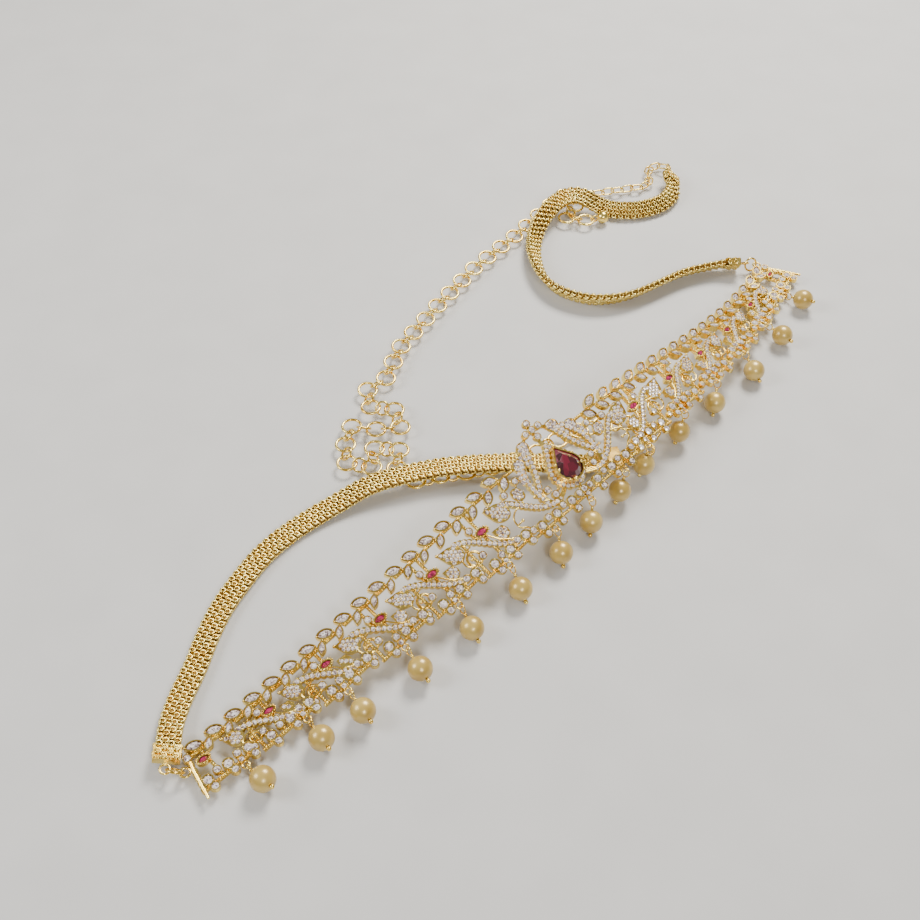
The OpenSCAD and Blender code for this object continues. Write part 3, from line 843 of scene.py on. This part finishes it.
@dataclass
class StonedPanel:
    """The small stones, cups, grains, pavé heads and curled wires on the panel's plates."""

    lay: Lay
    finishes: Finishes
    row_top: float = 1.72
    row_stone: float = 0.84
    row_pitch: float = 1.72
    head_pitch: float = 1.44
    bud_stone: float = 1.4
    bud_top: float = 1.8
    cup_r: float = 1.42
    cup_top: float = 2.15
    cup_stone: float = 1.1
    bead_r: float = 0.46
    bead_top: float = 1.05
    wide_leaf: Point = (2.75, 1.35)
    wide_leaf_top: float = 2.6
    first_wide_leaf: int = 3
    inner_leaf: tuple[Point, ...] = ((6, 2.6), (8.2, -3), (9.6, -8.4), (13.4, -13.2))
    outer_leaf: tuple[Point, ...] = ((10.5, -0.5), (14.6, -5), (15.6, -11), (13.8, -17.6))
    medal_stem: tuple[Point, ...] = ((9.2, -19.6), (18.5, -20), (21.5, -11.5), (27, -8.6))
    crown: tuple[Point, ...] = ((0, 7.4), (0, 4.6), (0, 1.6), (3, 4.6), (-3, 4.6))
    pear: Point = (0, -13.3)
    halo: float = 5.95
    halo_tip: float = 10.7
    leaf_turn: float = 22.0
    second_turn: float = 135.0
    leaf_half: float = 2.75
    pad_top: float = 1.85
    pad_thick: float = 1.1
    pad_stone: float = 0.7
    pad_stone_top: float = 1.75
    pad_margin: float = 0.55
    rod_r: float = 0.48
    rod_top: float = 1.6
    wire_r: float = 0.33
    wire_base: float = 1.25
    wire_lift: float = 0.5
    wire_step: float = 0.7
    ball_r: float = 0.6
    ball_top: float = 1.7
    claw_r: float = 0.42
    claw_top: float = 2.0
    prong_top: float = 5.1

    @staticmethod
    def leaf_claws(at: Point, turn: float, long: float) -> list[Point]:
        """The two claws at the tips of a leaf cup."""
        x, y = math.cos(math.radians(turn)) * long, math.sin(math.radians(turn)) * long
        return [(at[0] + x, at[1] + y), (at[0] - x, at[1] - y)]

    def unit(self, side: int, k: int) -> PlateWork:
        """The work on one unit.

        Args:
            side: 1 for the right half and -1 for the left.
            k: the unit's number from the medallion.

        Returns:
            The places of all its small pieces.
        """
        d = self.lay.drop(self.lay.unit_place(k))
        share = min(1, d / self.lay.drop_wide)
        last = k == self.lay.units
        work = PlateWork(self.lay.frame_at(side * self.lay.unit_place(k)), side)
        leaves = [self.lay.leaf * (i - 1) for i in range(2 if last else 3)]
        seconds = [(x - 3.5, -1.8 - 1.8 * share) for x in leaves]
        work.leaves = seconds if k >= self.first_wide_leaf else []
        for top, second in zip(leaves, seconds):
            reach = self.wide_leaf[0] - 0.1 if work.leaves else self.leaf_half * share
            work.claws += self.leaf_claws((top, 0), self.leaf_turn, self.leaf_half)
            work.claws += self.leaf_claws(second, self.second_turn, reach)
        lower = [self.lay.leaf * (i - 1) - 3.7 for i in range(3)]
        work.buds = [(x, -d + 1.5) for x in lower]
        work.cups = [(x - 0.4, -d - 1.6) for x in lower] + [(x + 3.5, -d + 2.2) for x in lower[:2]]
        lower_end, upper_end = (5.4, 4.8) if last else (8, 8.4)
        work.beaded = [
            ((-12.4, -d - 0.2), (lower_end, -d - 0.2)), ((-0.8, -3), (-0.8, -0.46 * d + 2.2)),
            ((-0.8, -0.46 * d - 2.2), (-0.8, -d)), ((-11, -1.8), (upper_end, -1.8))]
        eye = (0 if side < 0 and k < self.lay.units - 1 else -self.lay.leaf, -d - 0.1)
        if last:
            work.cups.append((3.9, -2.1))
            work.rows = [eye]
            work.rods = [[(3.4, -1.6), (4.9, -0.5 * d), (7, -d - 3.2)]]
            return work
        work.cups += [(2.2, -0.33 * d), (4.6, -0.72 * d), (9.6, -d + 2.2)]
        if k == 1:
            work.cups.append((-7.4, -6.5))
        stem = ((-8.4, -0.9 * d), (-1.6, -0.88 * d), (2.2, -0.42 * d), (9.2, -0.33 * d))
        work.rows = curved(stem, self.row_pitch) + [eye]
        long = 1.2 + 2.8 * share
        head = Head((11.7, -0.435 * d), long, 1 + 2.3 * share, 40, True)
        work.heads = [head, Head((-5.9, -0.68 * d), 0.6 + 2 * share, 0.7 + 1.8 * share, 45, True)]
        work.balls = [head.outward(1.47 * long, 0), (8.2, -0.66 * d), (-6.4, -0.84 * d)]
        curl = [(5.4, -0.5 * d), (8.6, -0.52 * d), (10.9, -0.57 * d), (11.3, -0.66 * d), (10.2, -0.74 * d),
                (8.3, -0.77 * d), (6.8, -0.73 * d)]
        work.wires = [curl, [(-0.8, -0.5 * d), (-4, -0.76 * d), (-8, -0.86 * d)]]
        work.beaded += [((2.2, -3), (2.2, -0.33 * d + 1.6)), ((2.2, -0.33 * d - 1.8), (2.2, -0.56 * d)),
                        ((7, -0.47 * d), (7, -d)), ((-5.9, -0.86 * d), (-5.9, -d))]
        return work

    def medal(self) -> PlateWork:
        """The work on the right half of the medallion, which the left half repeats."""
        d = self.lay.drop_wide
        work = PlateWork(self.lay.frame_at(0), 1)
        inner, outer = curved(self.inner_leaf, self.row_pitch), curved(self.outer_leaf, self.row_pitch)
        work.rows = inner + outer + curved(self.medal_stem, self.row_pitch)
        work.rows += [(x + 1.5, y + 0.5) for x, y in inner[1:5]]
        work.rows += [(x + 1.55, y + 0.3) for x, y in outer[1:6]]
        work.heads = [
            Head((7.3, 1.6), 2.5, 2.3, 0), Head((12.8, -2.2), 2.6, 2.3, 0),
            Head((20.3, -9.3), 2.7, 2.1, 60), Head((29.9, -10.1), 3.9, 3.3, 40, True)]
        work.buds = [(x, -d + 1.5) for x in (6.6, 14, 21.3)]
        work.cups = [(x, -d - 1.8) for x, _ in work.buds] + [(x, -d + 2.3) for x in (10.3, 17.6, 24.9)]
        work.cups += [(24.6, -6.7), (18, -5.3), (11, -14.6), (2.7, -22.2), (9.6, -17.4)]
        work.claws = self.leaf_claws((25, 0), self.leaf_turn, self.leaf_half)
        work.claws += self.leaf_claws((21.5, -3.6), self.second_turn, self.leaf_half)
        work.beaded = [((7.6, -1.8), (26, -1.8)), ((1.4, -d - 0.2), (24.8, -d - 0.2))]
        for gap in (-0.9, -0.3, 0.3, 0.9):
            work.wires.append(
                [(13.6 + gap, -13.4 - abs(gap)), (13.9 + 0.7 * gap, -16.4), (11.8 + 0.3 * gap, -19.4)])
        for gap in (-0.6, 0.0, 0.6):
            work.wires.append([(12.5, -19.8 + gap), (9, -19.6 + gap), (6.4, -18.7 + gap), (4.8, -17.2 + gap)])
        work.wires += [
            [(15.4, -6.4), (18, -5.3), (20.4, -3.4)], [(20.3, -9.3), (20.9, -13.4)], [(18, -5.3), (19.6, -8)],
            [(21.8, -12.6), (25.4, -12.9), (28, -15), (28, -18.4), (25.2, -19.6), (24.6, -21)],
            [(27.9, -17.2), (25.6, -17)]]
        work.balls = [(16.4, -13.6), (7.5, -16.6), (25.3, -17)]
        return work

    def halo_places(self) -> list[Point]:
        """Places of the stones round the centre ruby."""
        turn = math.acos(self.halo / self.halo_tip)
        sweep = 2 * math.pi - 2 * turn
        arc = [turn + sweep * i / 48 for i in range(49)]
        line = [(-self.halo * math.sin(a), self.halo * math.cos(a)) for a in arc] + [(0, self.halo_tip)]
        line = [(x + self.pear[0], y + self.pear[1]) for x, y in line]
        return along_line(line, self.row_pitch, closed=True)

    def ruby_beads(self, work: PlateWork, k: int) -> Piece:
        """The ring of beads round the pink stone of a unit."""
        d = self.lay.drop(self.lay.unit_place(k))
        at = (-0.8, -0.46 * d) if k < self.lay.units else (0.6, -0.42 * d)
        ring = Bench.bead_ring(14, (1.45 + 0.057 * d, 0.95 + 0.029 * d), 0.36, 0)
        return Bench.scattered(ring, [work.spot(at, 2.0, 5)], "ruby_beads")

    def gold_work(self, works: Sequence[PlateWork]) -> list[Piece]:
        """Makes the pads, bead lines, wires and balls of some plates.

        Args:
            works: the plates' work.

        Returns:
            The parts, to be joined.
        """
        parts = []
        beads, claws = [], []
        for work in works:
            for head in work.heads:
                pad = Bench.pad(head.long, head.wide, self.pad_thick, head.pointed)
                parts.append(Bench.scattered(pad, [work.spot(head.at, self.pad_top, head.turn)], "pad"))
            for at in work.leaves:
                place = work.spot(at, self.wide_leaf_top, self.second_turn)
                parts.append(Bench.scattered(Bench.leaf_bezel(*self.wide_leaf, 1.8), [place], "bezel"))
            for line in work.rods:
                points = [work.point(p, self.rod_top) for p in along_line(line, self.wire_step)]
                parts.append(Bench.drawn_wire(points, self.rod_r, "rod"))
            for a, b in work.beaded:
                beads += [work.spot(p, self.bead_top) for p in along_line([a, b], 2 * self.bead_r)]
            claws += [work.spot(p, self.claw_top) for p in work.claws]
            for line in work.wires:
                points = (curved(line, self.wire_step) if len(line) == 4
                          else along_line(self.eased(line), self.wire_step))
                step = math.pi / (len(points) - 1)
                bent = [work.point(p, self.wire_base + self.wire_lift * math.sin(i * step))
                        for i, p in enumerate(points)]
                parts.append(Bench.drawn_wire(bent, self.wire_r, "wire"))
            parts += [Bench.ball(self.ball_r, work.point(p, self.ball_top), 2) for p in work.balls]
        parts.append(Bench.scattered(Bench.ball(self.bead_r, (0, 0, 0)), beads, "beads"))
        parts.append(Bench.scattered(Bench.ball(self.claw_r, (0, 0, 0)), claws, "claws"))
        return parts

    @staticmethod
    def eased(line: Sequence[Point]) -> list[Point]:
        """A line with its corners rounded, by cutting them twice."""
        for _ in range(2):
            cut = [line[0]]
            for a, b in zip(line, line[1:]):
                for share in (0.25, 0.75):
                    cut.append(tuple((1 - share) * p + share * q for p, q in zip(a, b)))
            line = cut + [line[-1]]
        return list(line)

    def build_group(self, name: str, works: Sequence[PlateWork], extra: list[Piece]) -> None:
        """Builds the stones, cups and gold work of some plates.

        Args:
            name: ending of the pieces' names.
            works: the plates' work.
            extra: more gold parts of the group.
        """
        dress = self.finishes.dress
        rows = [w.spot(p, self.row_top) for w in works for p in w.rows]
        heads = [w.spot(p, self.pad_stone_top) for w in works for h in w.heads
                 for p in h.stones(self.head_pitch, self.pad_margin)]
        leaves = [w.spot(p, self.wide_leaf_top + 0.1, self.second_turn) for w in works for p in w.leaves]
        buds = [w.spot(p, self.bud_top) for w in works for p in w.buds]
        cups = [w.spot(p, self.cup_top) for w in works for p in w.cups]
        inside = [w.spot(p, self.cup_top - 0.1) for w in works for p in w.cups]
        for kind, radius, spots in (("row", self.row_stone, rows), ("head", self.pad_stone, heads),
                                    ("bud", self.bud_stone, buds), ("cup", self.cup_stone, inside)):
            dress(Bench.scattered(Bench.cut_stone(radius), spots, f"{kind}_stones_{name}"), Slot.WHITE)
        if leaves:
            gem = Bench.leaf_gem(self.wide_leaf[0] - 0.45, self.wide_leaf[1] - 0.35)
            dress(Bench.scattered(gem, leaves, f"wide_leaf_stones_{name}"), Slot.WHITE)
        for kind, count, reach, radius, turn, spots in (
                ("row", 4, 0.96, 0.25, 45, rows), ("head", 3, 0.86, 0.2, 30, heads),
                ("bud", 4, 1.55, 0.36, 45, buds)):
            ring = Bench.bead_ring(count, (reach, reach), radius, turn)
            dress(Bench.scattered(ring, spots, f"{kind}_grains_{name}"), Slot.GOLD)
        dress(Bench.scattered(Bench.round_cup(self.cup_r, 1.7, 0.3), cups, f"small_cups_{name}"), Slot.GOLD)
        dress(Bench.joined(self.gold_work(works) + extra, f"gold_work_{name}"), Slot.GOLD)

    def build(self) -> None:
        """Builds everything on both halves and on the medallion."""
        for side, name in ((-1, "left"), (1, "right")):
            works = [self.unit(side, k + 1) for k in range(self.lay.units)]
            self.build_group(name, works, [self.ruby_beads(w, k + 1) for k, w in enumerate(works)])
        medal = self.medal()
        foot = (0, -self.lay.drop_wide - 0.2)
        middle = PlateWork(medal.frame, 1, rows=[*self.halo_places(), foot], cups=[(0, -22), *self.crown])
        prongs = [Bench.ball(r, medal.point(p, self.prong_top), 2) for p, r in (
            ((-1.6, -17.9), 0.85), ((0, -4.9), 0.7), ((4.4, -14.6), 0.6), ((-4.3, -12.2), 0.6))]
        self.build_group("medallion", [medal, medal.mirrored(), middle], prongs)


@dataclass
class WovenBand:
    """The rows of small wire loops round a band and over its end caps that show."""

    name: str
    route: tuple[tuple[float, float, float, float], ...]
    open_caps: int
    finishes: Finishes
    middle: Point = (26.06, 24.45)
    width: float = 7.0
    thick: float = 1.8
    loop_pitch: float = 2.6
    loop_r: float = 0.84
    wire_r: float = 0.34
    rows: tuple[float, ...] = (-2.64, -0.88, 0.88, 2.64)
    tilt: float = 14.0
    proud: float = 0.14
    cap: float = 5.2
    cap_turns: int = 2
    cap_half: float = 1.62
    cap_wide: float = 4.0
    cap_bead: float = 0.42
    cap_beads_across: int = 9

    def smoothed(self) -> list[tuple[float, ...]]:
        """The route with six steps from each of its points to the next."""
        p, out = self.route, []
        for i in range(len(p) - 1):
            a, b, c, d = p[max(i - 1, 0)], p[i], p[i + 1], p[min(i + 2, len(p) - 1)]
            for j in range(6):
                t = j / 6
                out.append(tuple(
                    0.5 * (2 * q + t * (r - o) + t * t * (2 * o - 5 * q + 4 * r - s)
                           + t ** 3 * (3 * q - o - 3 * r + s)) for o, q, r, s in zip(a, b, c, d)))
        return out + [p[-1]]

    def frames(self) -> list[tuple[float, Matrix]]:
        """Distance and frame at each step of the band, x along it, y across it and z out of its face."""
        line, out, far = self.smoothed(), [], 0.0
        for i, (x, y, low, lean) in enumerate(line):
            before, after = line[max(i - 1, 0)], line[min(i + 1, len(line) - 1)]
            h, tip = math.atan2(after[1] - before[1], after[0] - before[0]), math.radians(lean)
            rise = low + self.width / 2 * abs(math.sin(tip)) + self.thick / 2 * math.cos(tip)
            if i:
                far += math.dist(line[i - 1][:2], (x, y))
            frame_here = (Matrix.Translation((x - self.middle[0], y - self.middle[1], rise))
                          @ Matrix.Rotation(h, 4, "Z") @ Matrix.Rotation(tip, 4, "X"))
            out.append((far, frame_here))
        return out

    @staticmethod
    def between(frames: Sequence[tuple[float, Matrix]], at: float) -> Matrix:
        """The frame at a distance along the band.

        Args:
            frames: distances and frames in order.
            at: the distance in millimetres.

        Returns:
            The frame between the two nearest steps.
        """
        for (d0, f0), (d1, f1) in zip(frames, frames[1:]):
            if d0 <= at <= d1:
                return f0.lerp(f1, (at - d0) / max(d1 - d0, 1e-6))
        return frames[-1][1]

    def cap_beads(self, frames: Sequence[tuple[float, Matrix]]) -> list[Matrix]:
        """Places of the beads along the outer rim of the end caps that show."""
        places, half = [], self.width / 2
        for here in (frames[0][1], frames[-1][1])[:self.open_caps]:
            for face in Facing:
                for i in range(self.cap_beads_across):
                    across = -half + 2 * half * i / (self.cap_beads_across - 1)
                    bead = Matrix.Translation((0, across, face.value * self.cap_half))
                    places.append(in_metres(here @ bead))
        return places

    def build(self) -> None:
        """Builds the loops of both faces and of the two edges, and the beads of the caps."""
        frames = self.frames()
        count = int((frames[-1][0] - 2 * self.cap) / self.loop_pitch)
        places, edges = [], []
        for i in range(-self.cap_turns, count + (self.cap_turns if self.open_caps == 2 else 0)):
            on_cap = not 0 <= i < count
            lift = self.cap_half if on_cap else self.thick / 2 + self.proud
            side = self.cap_wide if on_cap else self.width / 2 - 0.1
            turn = min(i, count - 1 - i) if on_cap else i
            here = []
            for share in (0.25, 0.75, 0.5):
                at = self.cap + self.loop_pitch * (turn + share)
                here.append(self.between(frames, frames[-1][0] - at if i >= count else at))
            for face in Facing:
                tilted = Matrix.Rotation(math.radians(face.value * self.tilt), 4, "Y")
                for row, across in enumerate(self.rows):
                    places.append(in_metres(
                        here[row % 2] @ Matrix.Translation((0, across, face.value * lift)) @ tilted))
                edges.append(in_metres(
                    here[2] @ Matrix.Translation((0, face.value * side, 0))
                    @ Matrix.Rotation(math.pi / 2, 4, "X") @ tilted))
        for kind, spots in (("loops", places), ("edge_loops", edges)):
            loops = Bench.scattered(Bench.loop(self.loop_r, self.wire_r), spots, f"{kind}_{self.name}")
            self.finishes.dress(loops, Slot.WOVEN)
        beads = Bench.scattered(
            Bench.ball(self.cap_bead, (0, 0, 0)), self.cap_beads(frames), f"cap_beads_{self.name}")
        self.finishes.dress(beads, Slot.GOLD)


LEFT_ROUTE = (
    (-85.9, -120.8, 1.6, 12), (-86.1, -115.4, 1.6, 12), (-86.4, -109, 1.1, 12), (-85.4, -100, 0.3, 10),
    (-82.4, -88, 0.1, 8), (-80, -76, 0.1, 8), (-76.8, -65, 0.1, 6), (-72.2, -55, 0.1, 6),
    (-66.3, -44.3, 0.1, 4), (-59, -35.4, 0.1, 4), (-50.6, -28, 0.4, 3), (-41.8, -22, 1.6, 2),
    (-33, -17, 3.8, 0), (-23.6, -13.4, 4.8, 0), (-15.2, -10.9, 4.9, 0), (-6.2, -8.6, 4.9, 0),
    (5, -7.2, 4.9, 0), (15, -6.6, 4.9, 0), (25, -6.4, 4.8, 0), (36, -5.8, 3.6, 0),
    (44, -4.4, 2, 0), (50.7, -2.6, 1.6, 0), (57, -1, 1.6, 0))
RIGHT_ROUTE = (
    (115.3, 106.1, 1, 50), (110, 105.9, 1, 50), (104, 105.2, 0.3, 50), (93, 101.6, 0.1, 50),
    (85.5, 97.2, 0.1, 50), (78.2, 92.4, 0.1, 50), (71, 88, 0.1, 52), (63, 85, 0.1, 55),
    (54, 84.2, 0.1, 58), (46, 86.5, 0.1, 58), (39.2, 91, 0.1, 58), (34.8, 97.6, 0.1, 56),
    (32.4, 105, 0.1, 54), (31.3, 112, 0.1, 50), (31.2, 119, 0.1, 45), (32.4, 127, 0.8, 38),
    (35.2, 134.4, 2.8, 30), (39, 140.6, 4.5, 24), (43.2, 146, 5, 20), (48.4, 149.2, 5, 22),
    (53.6, 149.6, 4, 28), (58.6, 147.8, 1.8, 36), (64, 145.4, 0.1, 45), (70, 143.8, 0.1, 50),
    (76.5, 143.8, 0.1, 52), (83.2, 145.8, 0.1, 52), (89.4, 149.6, 0.1, 50), (93.6, 155.4, 0.1, 46),
    (94.9, 159.5, 0.4, 44), (94.9, 163.5, 0.9, 44), (94.9, 168.6, 0.9, 44))


@dataclass
class Studio:
    """Pale floor, soft lights and the camera of the photograph."""

    eye: Triple = (-26.06, -319.75, 328.0)
    aim: Triple = (-26.06, -24.45, 0.0)
    focal_share: float = 1225 / 920
    sensor: float = 36.0
    floor_z: float = -0.55

    def build_floor(self) -> None:
        """Adds the floor."""
        Bench.clear()
        bpy.ops.mesh.primitive_plane_add(size=4.0, location=(0, 0, self.floor_z * MM))
        floor = Bench.take()
        floor.name = "floor"
        floor.data.materials.append(FloorFinish().make())

    def build_light(self, name: str, at: Triple, size: float, power: float,
                    colour: Triple) -> None:
        """Adds a soft square light aimed at the belt.

        Args:
            name: the light's name.
            at: its place in metres.
            size: its side in metres.
            power: its power in watts.
            colour: its colour.
        """
        data = bpy.data.lights.new(name, "AREA")
        data.size, data.energy, data.color = size, power, colour
        light = bpy.data.objects.new(name, data)
        bpy.context.scene.collection.objects.link(light)
        light.location = at
        light.rotation_euler = (-Vector(at)).to_track_quat("-Z", "Y").to_euler()

    def build(self) -> None:
        """Builds the whole stage."""
        self.build_floor()
        self.build_light("key", (0.25, 0.55, 0.75), 0.36, 14.0, (1.0, 0.97, 0.92))
        self.build_light("fill", (-0.8, -0.1, 0.6), 0.4, 6.0, (0.97, 0.98, 1.0))
        self.build_light("front", (0.2, -0.8, 0.7), 0.25, 5.0, (1.0, 1.0, 1.0))
        world = bpy.data.worlds.new("soft_room")
        world.use_nodes = True
        world.node_tree.nodes["Background"].inputs["Color"].default_value = (0.9, 0.86, 0.8, 1.0)
        world.node_tree.nodes["Background"].inputs["Strength"].default_value = 0.3
        bpy.context.scene.world = world
        data = bpy.data.cameras.new("camera")
        data.sensor_width = self.sensor
        data.lens = self.sensor * self.focal_share
        data.clip_start, data.clip_end = 0.01, 10.0
        camera = bpy.data.objects.new("camera", data)
        bpy.context.scene.collection.objects.link(camera)
        camera.location = Vector(self.eye) * MM
        camera.rotation_euler = (Vector(self.aim) - Vector(self.eye)).to_track_quat("-Z", "Y").to_euler()
        bpy.context.scene.camera = camera


def main() -> None:
    """Builds the pieces in order and reports each one."""
    logging.basicConfig(level=logging.INFO, format="%(message)s")
    finishes = Finishes()
    finishes.build()
    finishes.dress_solids()
    LOG.info("solids dressed: %d", len(frame["nodes"]))
    StonedPanel(Lay(), finishes).build()
    LOG.info("panel stones, grains and wires built")
    for name, route, open_caps in (("left", LEFT_ROUTE, 1), ("right", RIGHT_ROUTE, 2)):
        WovenBand(name, route, open_caps, finishes).build()
        LOG.info("woven loops built: %s band", name)
    Studio().build()
    LOG.info("stage built")


if __name__ == "__main__":
    main()
